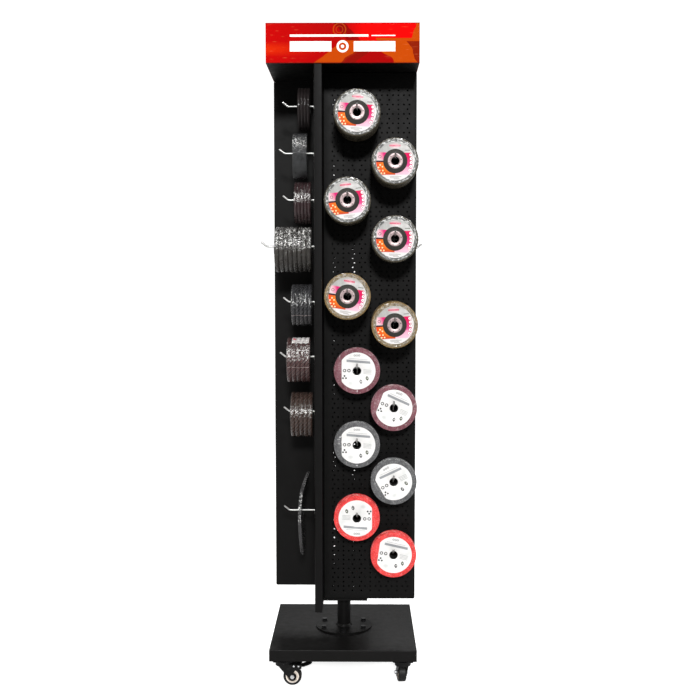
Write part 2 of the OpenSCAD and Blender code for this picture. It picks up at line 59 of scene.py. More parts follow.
class Finish:
    """Builds one procedural material. Coordinates are the object's own, in metres."""

    def __init__(self, name, colour=(0.5, 0.5, 0.5), roughness=0.5, metallic=0.0):
        self.material = bpy.data.materials.new(name)
        self.material.use_nodes = True
        self.tree = self.material.node_tree
        self.bsdf = self.tree.nodes["Principled BSDF"]
        coordinates = self.tree.nodes.new("ShaderNodeTexCoord")
        self.place = coordinates.outputs["Object"]
        self.normal = coordinates.outputs["Normal"]
        self.set("Base Color", (*colour, 1))
        self.set("Roughness", roughness)
        self.set("Metallic", metallic)

    def feed(self, socket, value):
        if isinstance(value, bpy.types.NodeSocket):
            self.tree.links.new(value, socket)
        else:
            socket.default_value = value

    def set(self, socket, value):
        self.feed(self.bsdf.inputs[socket], value)

    def node(self, kind, settings=None, **inputs):
        made = self.tree.nodes.new(kind)
        for key, value in (settings or {}).items():
            setattr(made, key, value)
        for key, value in inputs.items():
            self.feed(made.inputs[key.replace("_", " ")], value)
        return made

    def math(self, operation, *values):
        made = self.node("ShaderNodeMath", {"operation": operation})
        for socket, value in zip(made.inputs, values):
            self.feed(socket, value)
        return made.outputs[0]

    def axes(self, vector=None):
        return self.node("ShaderNodeSeparateXYZ", Vector=vector or self.place).outputs

    def stretched(self, x, y, z):
        return self.node("ShaderNodeMapping", Vector=self.place, Scale=(x, y, z)).outputs[0]

    def noise(self, scale, detail=2.0, vector=None):
        made = self.node("ShaderNodeTexNoise", Vector=vector or self.place, Scale=scale, Detail=detail)
        return made.outputs["Fac"]

    def cells(self, scale, feature="F1", vector=None):
        place = vector or self.place
        made = self.node("ShaderNodeTexVoronoi", {"feature": feature}, Vector=place, Scale=scale)
        return made.outputs["Distance"]

    def range(self, value, low, high, new_low=0.0, new_high=1.0):
        made = self.node("ShaderNodeMapRange", Value=value)
        for socket, number in zip(list(made.inputs)[1:5], (low, high, new_low, new_high)):
            socket.default_value = number
        return made.outputs[0]

    def mix(self, factor, first, second):
        made = self.node("ShaderNodeMix", {"data_type": "RGBA"})
        sockets = [s for s in made.inputs if s.type == "RGBA"]
        self.feed(made.inputs[0], factor)
        for socket, value in zip(sockets, (first, second)):
            self.feed(socket, value if isinstance(value, bpy.types.NodeSocket) else (*value, 1))
        return next(s for s in made.outputs if s.type == "RGBA")

    def bump(self, height, depth, strength=1.0):
        return self.node("ShaderNodeBump", Height=height, Distance=depth, Strength=strength).outputs[0]

    # Masks: 1 inside a shape and 0 outside it
    def between(self, value, low, high):
        return self.both(self.math("GREATER_THAN", value, low), self.math("LESS_THAN", value, high))

    def both(self, first, second):
        return self.math("MULTIPLY", first, second)

    def either(self, first, second):
        return self.math("MAXIMUM", first, second)

    def distance(self, u, v, u0, v0):
        du = self.math("SUBTRACT", u, u0)
        dv = self.math("SUBTRACT", v, v0)
        square = self.math("ADD", self.math("MULTIPLY", du, du), self.math("MULTIPLY", dv, dv))
        return self.math("SQRT", square)

    def dot(self, u, v, u0, v0, radius):
        return self.math("LESS_THAN", self.distance(u, v, u0, v0), radius)

    def loop(self, u, v, u0, v0, outer, inner):
        return self.between(self.distance(u, v, u0, v0), inner, outer)

    def bar(self, u, v, u0, v0, width, height):
        across = self.between(u, u0 - width / 2, u0 + width / 2)
        return self.both(across, self.between(v, v0 - height / 2, v0 + height / 2))


def powder_coat(name, level=0.0038, roughness=0.42):
    """Fine-textured black powder coat with a faint unevenness."""
    f = Finish(name)
    cloud = f.noise(5.0, 3.0)
    dark, light = level * 0.75, level * 1.3
    f.set("Base Color", f.mix(cloud, (dark, dark * 0.93, dark * 0.9), (light, light * 0.95, light * 0.92)))
    f.set("Roughness", f.range(f.noise(45.0), 0.3, 0.7, roughness - 0.05, roughness + 0.07))
    f.set("Specular IOR Level", 0.09)
    f.set("Normal", f.bump(f.noise(900.0, 1.0), 0.00006, 0.5))
    return f.material


def brushed_metal(name, colour, roughness, streaks=(90, 90, 900)):
    """Metal with fine streaks and faint stains."""
    f = Finish(name, metallic=1.0)
    stain = f.noise(60.0, 3.0)
    dull = [c * 0.8 for c in colour]
    f.set("Base Color", f.mix(f.range(stain, 0.35, 0.7), colour, dull))
    streak = f.noise(1.0, 2.0, f.stretched(*streaks))
    f.set("Roughness", f.range(streak, 0.25, 0.75, roughness * 0.75, roughness * 1.35))
    f.set("Normal", f.bump(streak, 0.00003, 0.4))
    return f.material


def enamel(name, level, roughness):
    """Dipped gloss paint with slight waves and worn dust."""
    f = Finish(name)
    dust = f.range(f.noise(120.0, 4.0), 0.55, 0.8)
    f.set("Base Color", f.mix(dust, (level,) * 3, (level * 2.4,) * 3))
    f.set("Roughness", f.range(dust, 0.0, 1.0, roughness, roughness + 0.25))
    f.set("Specular IOR Level", 0.15)
    f.set("Normal", f.bump(f.noise(220.0, 2.0), 0.00005, 0.5))
    return f.material


def plastic(name, colour, roughness):
    """Moulded plastic with a fine skin and soft mottling."""
    f = Finish(name)
    shade = [c * 0.86 for c in colour]
    f.set("Base Color", f.mix(f.range(f.noise(35.0, 3.0), 0.3, 0.75), colour, shade))
    f.set("Roughness", f.range(f.noise(300.0), 0.3, 0.7, roughness - 0.06, roughness + 0.1))
    f.set("Normal", f.bump(f.noise(1400.0, 1.0), 0.00004, 0.4))
    return f.material


def rubber(name):
    f = Finish(name)
    scuff = f.range(f.noise(160.0, 4.0), 0.5, 0.8)
    f.set("Base Color", f.mix(scuff, (0.005, 0.005, 0.005), (0.020, 0.018, 0.016)))
    f.set("Specular IOR Level", 0.25)
    f.set("Roughness", f.range(scuff, 0.0, 1.0, 0.42, 0.8))
    f.set("Normal", f.bump(f.noise(900.0, 2.0), 0.0001, 0.5))
    return f.material


def header_print(name):
    """Print of red and orange shards, light sparks, and plain bars beside a ring. It holds no letters."""
    box_low, box_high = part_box("header_graphics")
    middle_z = (box_low.z + box_high.z) / 2
    height = box_high.z - box_low.z
    f = Finish(name, roughness=0.5)
    side = f.node("ShaderNodeVectorMath", {"operation": "CROSS_PRODUCT"})
    side.inputs[0].default_value = (0, 0, 1)
    f.feed(side.inputs[1], f.normal)
    along = f.node("ShaderNodeVectorMath", {"operation": "DOT_PRODUCT"})
    f.feed(along.inputs[0], f.place)
    f.feed(along.inputs[1], side.outputs["Vector"])
    u = along.outputs["Value"]
    v = f.math("SUBTRACT", f.axes()[2], middle_z)
    flat = f.node("ShaderNodeCombineXYZ", X=u, Y=v).outputs[0]
    warp = f.math("MULTIPLY", f.math("SUBTRACT", f.noise(14.0, 3.0, flat), 0.5), 0.05)
    slant = f.math("ADD", f.math("ADD", u, f.math("MULTIPLY", v, 0.75)), warp)
    counter = f.math("ADD", f.math("SUBTRACT", u, f.math("MULTIPLY", v, 1.4)), warp)
    colour = f.mix(f.range(u, -0.2, 0.05), (0.42, 0.001, 0.001), (0.30, 0.001, 0.001))
    glow = f.both(f.range(u, 0.0, 0.06), f.range(v, -0.02, 0.01))
    colour = f.mix(glow, colour, (0.66, 0.001, 0.001))
    near_low_line = f.range(f.math("ABSOLUTE", f.math("ADD", v, 0.016)), 0.02, 0.004)
    low_glow = f.both(near_low_line, f.range(u, -0.06, -0.2))
    colour = f.mix(f.math("MULTIPLY", low_glow, 0.8), colour, (0.58, 0.022, 0.001))
    orange = (0.43, 0.052, 0.001)
    wedge = f.both(f.between(counter, -0.005, 0.075), f.math("LESS_THAN", v, 0.006))
    colour = f.mix(f.math("MULTIPLY", wedge, 0.9), colour, orange)
    right = f.both(f.math("GREATER_THAN", slant, 0.095), f.math("LESS_THAN", v, 0.012))
    corner = f.math("GREATER_THAN", f.math("ADD", counter, v), 0.172)
    colour = f.mix(f.either(right, corner), colour, orange)
    dark = f.both(f.between(counter, 0.068, 0.105), f.math("LESS_THAN", v, 0.004))
    colour = f.mix(f.math("MULTIPLY", dark, 0.85), colour, (0.20, 0.004, 0.001))
    dark_end = f.both(f.math("GREATER_THAN", slant, 0.165), f.math("LESS_THAN", v, 0.004))
    colour = f.mix(f.math("MULTIPLY", dark_end, 0.85), colour, (0.17, 0.003, 0.001))
    band = f.both(f.between(slant, 0.012, 0.045), f.math("GREATER_THAN", v, 0.006))
    colour = f.mix(f.math("MULTIPLY", band, 0.8), colour, (0.17, 0.001, 0.001))
    wheel = f.loop(u, v, -0.008, 0.034, 0.0175, 0.0145)
    wheel = f.either(wheel, f.loop(u, v, -0.008, 0.034, 0.0095, 0.008))
    colour = f.mix(f.math("MULTIPLY", wheel, 0.45), colour, (0.50, 0.09, 0.004))
    streaks = f.node("ShaderNodeMapping", Vector=flat, Rotation=(0, 0, -0.42), Scale=(30, 420, 1))
    sparks = f.range(f.noise(1.0, 1.0, streaks.outputs[0]), 0.66, 0.78)
    sparks = f.both(sparks, f.range(f.math("ABSOLUTE", u), 0.085, 0.13))
    colour = f.mix(f.math("MULTIPLY", sparks, 0.4), colour, (0.80, 0.22, 0.08))
    white = f.bar(u, v, -0.083, -0.009, 0.108, 0.026)
    white = f.either(white, f.bar(u, v, 0.083, -0.009, 0.108, 0.026))
    white = f.either(white, f.loop(u, v, 0.0, -0.009, 0.0155, 0.0098))
    white = f.either(white, f.dot(u, v, 0.0, -0.009, 0.0042))
    white = f.either(white, f.bar(u, v, -0.035, 0.0185, 0.204, 0.0055))
    white = f.either(white, f.bar(u, v, 0.106, 0.0185, 0.062, 0.0025))
    colour = f.mix(white, colour, (0.88, 0.87, 0.84))
    # Painted shade: a darker band along the top and bottom edges of the print.
    edge = f.math("GREATER_THAN", f.math("ABSOLUTE", v), height / 2 - 0.0022)
    colour = f.mix(f.math("MULTIPLY", edge, 0.5), colour, (0.12, 0.004, 0.003))
    f.set("Base Color", colour)
    f.set("Specular IOR Level", 0.01)
    f.set("Normal", f.bump(f.noise(180.0, 2.0), 0.00004, 0.3))
    return f.material


def crinkles(f, fineness):
    """Height of the folds in shrink film: sharp ridges over a slow sag."""
    turned = f.node("ShaderNodeMapping", Vector=f.place, Rotation=(0.4, 0.2, 0.6), Scale=(1, 1.5, 1))
    ridge = f.math("ABSOLUTE", f.math("SUBTRACT", f.noise(fineness, 2.0, turned.outputs[0]), 0.5))
    return f.range(ridge, 0.0, 0.16, 1.0, 0.0)


def shrink_film(f, colour, weight=1.0, crease=1.0, painted_glint=0.0, band=(0.05, 0.80), glints=None):
    """Clear shrink film over a colour: a glossy coat with folds, and painted highlights: pale glints
    painted into the colour on a band that faces up.
    band is the lowest and highest upward share of the normal at which the painted glints show, and
    painted_glint is how strongly they are painted."""
    fold = crinkles(f, 95.0)
    height = f.math("ADD", f.math("MULTIPLY", fold, 0.35), f.noise(30.0, 2.0))
    f.set("Coat Weight", weight)
    f.set("Coat Roughness", 0.09)
    f.set("Coat Normal", f.bump(height, 0.003 * crease, 1.0))
    if painted_glint:
        if glints is None:
            up = f.axes(f.node("ShaderNodeNewGeometry").outputs["Normal"])[2]
            low, high = band
            facing = f.both(f.range(up, low - 0.12, low + 0.10), f.range(up, high + 0.15, high - 0.05))
            patch = f.range(f.noise(60.0, 2.0), 0.36, 0.60)
            glint_specks = f.range(f.noise(300.0, 1.0), 0.50, 0.60)
            glints = f.both(f.both(glint_specks, patch), facing)
        # Painted highlight: pale glints mixed into the colour where the film faces up towards the lamps.
        colour = f.mix(f.math("MULTIPLY", glints, painted_glint), colour, (0.80, 0.80, 0.78))
    f.set("Base Color", colour)


def abrasive(name, colour, grain=1.0, film=1.0, crease=1.0, painted_glint=0.25, band=(0.05, 0.80), teeth=0,
             disc=0.01, sticker=0.0, seam=0.0):
    """Gritty abrasive cloth: each grain lighter or darker than its neighbour, under shrink film.
    teeth is the number of overlapping flaps round each disc, and disc is a disc's thickness. sticker is the
    length of a pack that has a paper patch on top, and seam is where the film's weld runs, in degrees from
    the top."""
    f = Finish(name, roughness=0.8)
    f.set("Specular IOR Level", 0.2)
    dark = [c * 0.45 for c in colour]
    light = [min(1.0, c * 1.5) for c in colour]
    grit = f.noise(1500.0 * grain, 1.0)
    patch = f.noise(55.0, 4.0)
    mixed = f.math("ADD", f.math("MULTIPLY", grit, 0.65), f.math("MULTIPLY", patch, 0.5))
    cloth = f.mix(f.range(mixed, 0.38, 0.78), dark, light)
    x, y, z = f.axes()[:3]
    heading = f.math("DEGREES", f.math("ARCTAN2", x, z))
    if teeth:
        turns = f.math("MULTIPLY", heading, teeth / 360)
        tooth = f.math("FRACT", f.math("ADD", turns, f.math("DIVIDE", y, disc / 1.3)))
        # Painted shade in the step under each overlapping flap, and a painted highlight along each flap's
        # raised edge.
        cloth = f.mix(f.range(tooth, 0.55, 0.95), cloth, [c * 0.12 for c in colour])
        cloth = f.mix(f.range(tooth, 0.22, 0.02), cloth, [min(1.0, c * 2.2 + 0.004) for c in colour])
    f.set("Normal", f.bump(grit, 0.0003, 0.6))
    if seam:
        wave = f.math("MULTIPLY", f.math("SUBTRACT", f.noise(50.0), 0.5), 9.0)
        line = f.bar(f.math("ADD", heading, wave), 0.0, seam, 0.0, 0.90, 1.0)
        cloth = f.mix(f.math("MULTIPLY", line, 0.45), cloth, (0.62, 0.50, 0.48))
    if sticker:
        paper = f.mix(f.range(f.noise(160.0), 0.42, 0.60), (0.74, 0.72, 0.70), (0.38, 0.36, 0.36))
        along = f.math("MULTIPLY", y, 900.0)
        paper = f.mix(f.dot(along, heading, sticker * 0.32 * 900, 26.0, 4.2), paper, (0.55, 0.02, 0.04))
        across = f.between(y, sticker * 0.20, sticker * 0.95)
        cloth = f.mix(f.both(across, f.between(heading, 2.0, 46.0)), cloth, paper)
    shrink_film(f, cloth, film, crease, painted_glint, band)
    return f.material


def backing(name, colour, painted_glint):
    """Woven glass backing of a flap disc, under film that is crinkled round the disc's edge; the film's
    folds are painted as light and dark streaks round the disc, with painted glints towards the top and
    right.
    """
    f = Finish(name, roughness=0.5)
    x, z, radius, angle = polar(f)
    weave = f.cells(700.0)
    turn = f.math("RADIANS", angle)
    spoke_x = f.math("MULTIPLY", f.math("SINE", turn), 0.02)
    spoke_z = f.math("MULTIPLY", f.math("COSINE", turn), 0.02)
    around = f.node("ShaderNodeCombineXYZ", X=spoke_x, Y=spoke_z, Z=radius).outputs[0]
    # Painted reflections: light and dark streaks round the disc stand for the film's folds catching the
    # lamps.
    streak = f.noise(420.0, 2.0, around)
    tone = f.math("ADD", f.math("MULTIPLY", streak, 0.8), f.math("MULTIPLY", weave, 0.25))
    dark = (colour[0] * 0.25, colour[1] * 0.26, colour[2] * 0.25)
    light = [min(1.0, c * 1.5) for c in colour]
    # Painted highlight: the glints are shifted towards the top and right of the rim, where the lamps light
    # it.
    above = f.math("ADD", f.math("MULTIPLY", z, 0.81), f.math("MULTIPLY", x, 0.36))
    glint_specks = f.range(f.math("ADD", f.noise(300.0, 2.0, around), above), 0.53, 0.62)
    f.set("Normal", f.bump(weave, 0.0002, 0.5))
    shrink_film(f, f.mix(f.range(tone, 0.32, 0.72), dark, light), 0.3, 0.5, painted_glint, glints=glint_specks)
    return f.material


def polar(f):
    """Radius and clockwise angle from the top, in degrees from 0 to 360, on a disc's face."""
    x, _, z = f.axes()[:3]
    radius = f.distance(x, z, 0.0, 0.0)
    turn = f.math("DEGREES", f.math("ARCTAN2", x, z))
    angle = f.math("MODULO", f.math("ADD", turn, 360.0), 360.0)
    return x, z, radius, angle


def flap_label(name):
    """Ring label of a flap disc: crimson arc, orange sector with pale dots, small rings and plain bars."""
    f = Finish(name, roughness=0.5)
    f.set("Specular IOR Level", 0.15)
    x, z, radius, _ = polar(f)
    right = f.math("GREATER_THAN", x, 0.0)
    left = f.math("LESS_THAN", x, 0.0)
    slope = f.math("SUBTRACT", f.math("MULTIPLY", x, 5.0), f.math("MULTIPLY", z, 9.0))
    shade = f.math("ADD", f.noise(70.0, 3.0), slope)
    colour = f.mix(f.range(shade, 0.05, 0.85), (0.34, 0.34, 0.325), (0.68, 0.66, 0.65))
    glow = f.range(f.distance(x, f.math("MULTIPLY", z, 2.2), -0.001, 0.088), 0.017, 0.009)
    colour = f.mix(f.math("MULTIPLY", glow, 0.6), colour, (0.72, 0.42, 0.47))
    uneven = f.math("GREATER_THAN", f.math("SINE", f.math("MULTIPLY", x, 2100.0)), -0.75)
    colour = f.mix(f.both(f.bar(x, z, -0.001, 0.0400, 0.029, 0.0044), uneven), colour, (0.50, 0.03, 0.09))
    colour = f.mix(f.bar(x, z, 0.0315, 0.0280, 0.014, 0.0019), colour, (0.10, 0.11, 0.09))
    field = f.both(f.both(right, f.math("LESS_THAN", radius, 0.0472)), f.between(z, -0.0350, 0.0215))
    field = f.both(field, f.math("LESS_THAN", x, f.math("ADD", 0.0430, f.math("MULTIPLY", z, -0.10))))
    fade = f.mix(f.range(z, -0.0110, -0.0290), (0.66, 0.07, 0.25), (0.80, 0.45, 0.55))
    colour = f.mix(field, colour, f.mix(f.range(z, 0.0100, -0.0150), (0.60, 0.003, 0.08), fade))
    wash = f.both(right, f.both(f.between(z, -0.0350, -0.0150), f.range(x, 0.0480, 0.0330)))
    colour = f.mix(f.math("MULTIPLY", wash, 0.5), colour, (0.80, 0.45, 0.55))
    for across, up in ((0.0405, 0.0160), (0.0415, 0.0060), (0.0415, -0.0040), (0.0405, -0.0140),
                       (0.0375, -0.0235)):
        colour = f.mix(f.dot(x, z, across, up, 0.0045), colour, (0.34, 0.02, 0.07))
        colour = f.mix(f.dot(x, z, across, up, 0.0036), colour, (0.90, 0.88, 0.87))
        colour = f.mix(f.dot(x, z, across, up, 0.0015), colour, (0.40, 0.08, 0.14))
    wedge = f.both(f.both(left, f.between(z, 0.0030, 0.0225)), f.math("GREATER_THAN", x, -0.0475))
    depth = f.math("ADD", x, f.math("MULTIPLY", z, 0.35))
    pink = f.mix(f.range(depth, -0.0400, -0.0240), (0.74, 0.48, 0.52), (0.56, 0.01, 0.14))
    colour = f.mix(wedge, colour, pink)
    colour = f.mix(f.loop(x, z, -0.0405, 0.0115, 0.0042, 0.0026), colour, (0.20, 0.14, 0.15))
    sector = f.both(f.both(left, f.between(z, -0.0355, -0.0030)), f.math("LESS_THAN", radius, 0.0498))
    hot = f.mix(f.range(depth, -0.0520, -0.0280), (0.72, 0.045, 0.008), (0.70, 0.20, 0.012))
    colour = f.mix(sector, colour, f.mix(f.range(z, -0.0200, -0.0360), hot, (0.50, 0.035, 0.012)))
    for across, up in ((-0.0395, -0.0100), (-0.0440, -0.0165), (-0.0335, -0.0145), (-0.0410, -0.0245),
                       (-0.0325, -0.0245), (-0.0360, -0.0315), (-0.0285, -0.0315)):
        colour = f.mix(f.dot(x, z, across, up, 0.0021), colour, (0.84, 0.66, 0.36))
    notch = f.both(f.math("LESS_THAN", f.math("ABSOLUTE", f.math("ADD", z, 0.0008)), 0.0022), left)
    colour = f.mix(notch, colour, (0.055, 0.010, 0.016))
    for across, up, width in ((0.001, -0.0405, 0.030), (-0.002, -0.0435, 0.022), (0.004, -0.0462, 0.016)):
        colour = f.mix(f.bar(x, z, across, up, width, 0.0011), colour, (0.22, 0.20, 0.19))
    shrink_film(f, colour, 0.08, 0.2)
    return f.material


def fibre_label(name):
    """Round paper label of a fibre disc: grey bars, small rings, three dots and two leaves."""
    f = Finish(name, roughness=0.4)
    x, z, _, _ = polar(f)
    colour = f.mix(f.range(f.noise(45.0, 3.0), 0.35, 0.8), (0.78, 0.76, 0.75), (0.64, 0.65, 0.63))
    grey = (0.03, 0.03, 0.03)
    slope = f.math("ADD", z, f.math("MULTIPLY", x, 0.08))
    colour = f.mix(f.bar(x, slope, 0.004, 0.0255, 0.064, 0.0066), colour, (0.26, 0.27, 0.28))
    colour = f.mix(f.bar(x, slope, 0.003, 0.0325, 0.052, 0.0012), colour, (0.38, 0.39, 0.39))
    for across in (-0.006, 0.0, 0.006):
        colour = f.mix(f.loop(x, z, across, 0.0420, 0.0028, 0.0014), colour, (0.22, 0.22, 0.22))
    for across in (-0.0335, -0.0215):
        colour = f.mix(f.loop(x, z, across, 0.0010, 0.0046, 0.0024), colour, grey)
    for across, up in ((-0.0335, -0.0135), (-0.0375, -0.0195), (-0.0295, -0.0195)):
        colour = f.mix(f.dot(x, z, across, up, 0.0026), colour, grey)
    for across, up, tint in ((0.0105, -0.0295, (0.05, 0.05, 0.05)), (0.0275, -0.0205, (0.07, 0.08, 0.05))):
        one_side = f.dot(x, z, across - 0.0028, up, 0.0068)
        leaf = f.both(one_side, f.dot(x, z, across + 0.0028, up + 0.001, 0.0068))
        vein = f.dot(x, z, across + 0.0006, up + 0.001, 0.0015)
        colour = f.mix(leaf, colour, tint)
        colour = f.mix(vein, colour, (0.75, 0.76, 0.72))
    for step in range(4):
        up = 0.005 - step * 0.0035
        colour = f.mix(f.bar(x, slope, 0.0285, up, 0.022, 0.0012), colour, (0.34, 0.35, 0.34))
    # Painted shade: a grey patch on the lower left of the label.
    painted_shade_patch = f.range(f.distance(x, f.math("MULTIPLY", z, 1.6), -0.017, -0.052), 0.010, 0.003)
    colour = f.mix(f.math("MULTIPLY", painted_shade_patch, 0.5), colour, (0.45, 0.47, 0.46))
    shrink_film(f, colour, 0.4, 0.3)
    return f.material


def cutter_label(name, tint, radius):
    """Round label of a thin disc: a coloured ring, a pale middle and a few plain bars."""
    f = Finish(name, roughness=0.4)
    x, z, reach, angle = polar(f)
    colour = f.mix(f.range(f.noise(60.0, 3.0), 0.3, 0.8), (0.80, 0.79, 0.77), (0.66, 0.66, 0.65))
    colour = f.mix(f.between(reach, radius * 0.80, radius * 0.95), colour, tint)
    lower = f.both(f.between(angle, 120.0, 240.0), f.math("LESS_THAN", reach, radius * 0.80))
    colour = f.mix(lower, colour, (0.10, 0.10, 0.11))
    ink = (0.18, 0.17, 0.17)
    for up, width in ((0.60, 0.8), (0.48, 0.55)):
        colour = f.mix(f.bar(x, z, 0.0, radius * up, radius * width, radius * 0.06), colour, ink)
    for across in (-0.5, 0.5):
        colour = f.mix(f.loop(x, z, across * radius, 0.0, radius * 0.11, radius * 0.07), colour, ink)
    shrink_film(f, colour, 0.7, 0.5)
    return f.material


def hub_metal(name):
    """Pressed hub ring with a printed pinkish skin and small stamped marks."""
    f = Finish(name, roughness=0.35)
    _, _, radius, angle = polar(f)
    skin = f.mix(f.range(f.noise(140.0, 3.0), 0.3, 0.7), (0.50, 0.38, 0.38), (0.30, 0.23, 0.23))
    marks = f.math("GREATER_THAN", f.math("SINE", f.math("MULTIPLY", angle, math.radians(1) * 6)), 0.90)
    marks = f.both(marks, f.between(radius, 0.0148, 0.0180))
    rim = f.math("GREATER_THAN", radius, 0.0193)
    f.set("Base Color", f.mix(f.either(marks, rim), skin, (0.06, 0.045, 0.045)))
    f.set("Metallic", 0.35)
    return f.material


# ---------- mesh helpers ----------

def finished(name, mesh, body, materials, matrix=None):
    """Makes a piece from a mesh, gives each of its slots a material of its own, and puts it on its body."""
    piece = bpy.data.objects.new(name, mesh)
    bpy.context.scene.collection.objects.link(piece)
    if matrix is not None:
        piece.matrix_world = matrix
    while len(mesh.materials) < len(materials):
        mesh.materials.append(None)
    for place, material in zip(piece.material_slots, materials):
        place.link = "OBJECT"
        place.material = material
    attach(piece, body)
    return piece


def smooth(mesh, degrees=32):
    """Smooth shading that keeps edges sharper than the angle."""
    mesh.polygons.foreach_set("use_smooth", [True] * len(mesh.polygons))
    mesh.set_sharp_from_angle(angle=math.radians(degrees))


def thickened(outer, thickness, name):
    """A closed mesh made from an outer skin by giving it a thickness inwards."""
    carrier = bpy.data.objects.new("carrier", outer)
    bpy.context.scene.collection.objects.link(carrier)
    solidify = carrier.modifiers.new("sheet", "SOLIDIFY")
    solidify.thickness = thickness
    solidify.offset = -1
    graph = bpy.context.evaluated_depsgraph_get()
    mesh = bpy.data.meshes.new_from_object(carrier.evaluated_get(graph), depsgraph=graph)
    mesh.name = name
    bpy.data.objects.remove(carrier)
    smooth(mesh, 30)
    return mesh


def solids(node):
    """Lowest and highest corners of each separate solid in a CAD node, from the top down."""
    mesh = frame["nodes"][node].data
    parent = {}

    def find(key):
        while parent[key] != key:
            parent[key] = parent[parent[key]]
            key = parent[key]
        return key

    keys = [tuple(round(c * 1e5) for c in vert.co) for vert in mesh.vertices]
    for key in keys:
        parent.setdefault(key, key)
    for polygon in mesh.polygons:
        first = find(keys[polygon.vertices[0]])
        for index in polygon.vertices[1:]:
            parent[find(keys[index])] = first
    groups = {}
    for key, vert in zip(keys, mesh.vertices):
        groups.setdefault(find(key), []).append(vert.co)
    boxes = []
    for points in groups.values():
        low = Vector(min(p[i] for p in points) for i in range(3))
        high = Vector(max(p[i] for p in points) for i in range(3))
        boxes.append((low, high))
    return sorted(boxes, key=lambda b: (-round(b[0].z + b[1].z, 4), round(b[0].y + b[1].y + b[0].x, 4)))


def outward(low, high):
    """Turn of the side that a pack hangs on, its length, its radius and the middle of its outer face."""
    size, middle = high - low, (low + high) / 2
    axis = 0 if abs(size.x - size.z) > abs(size.y - size.z) else 1
    sign = 1 if middle[axis] > 0 else -1
    side = {(1, -1): "front", (0, -1): "left", (1, 1): "back", (0, 1): "right"}[(axis, sign)]
    face = middle.copy()
    face[axis] += sign * size[axis] / 2
    return SIDES[side], size[axis], size.z / 2, face


def ring(bm, radius, y, count):
    """One ring of points on a disc's axis (Y). The radius may be a function of the angle."""
    points = []
    for i in range(count):
        angle = 2 * math.pi * i / count
        r = radius(angle) if callable(radius) else radius
        points.append(bm.verts.new((r * math.sin(angle), y, r * math.cos(angle))))
    return points


def skin(bm, first, second, material):
    """Joins two rings with faces."""
    count = len(first)
    for i in range(count):
        j = (i + 1) % count
        face = bm.faces.new((first[i], first[j], second[j], second[i]))
        face.material_index = material


# ---------- pegboards ----------

SHEET = 1.5 * MM
BEND = 2.5 * MM
BEND_STEPS = 4
HOLE_R = 2.5 * MM
HOLE_SIDES = 12
WIDE_PITCH = 25 * MM
NARROW_PITCH = 15 * MM
ROW_STEP = 12.6 * MM
ROWS = 111


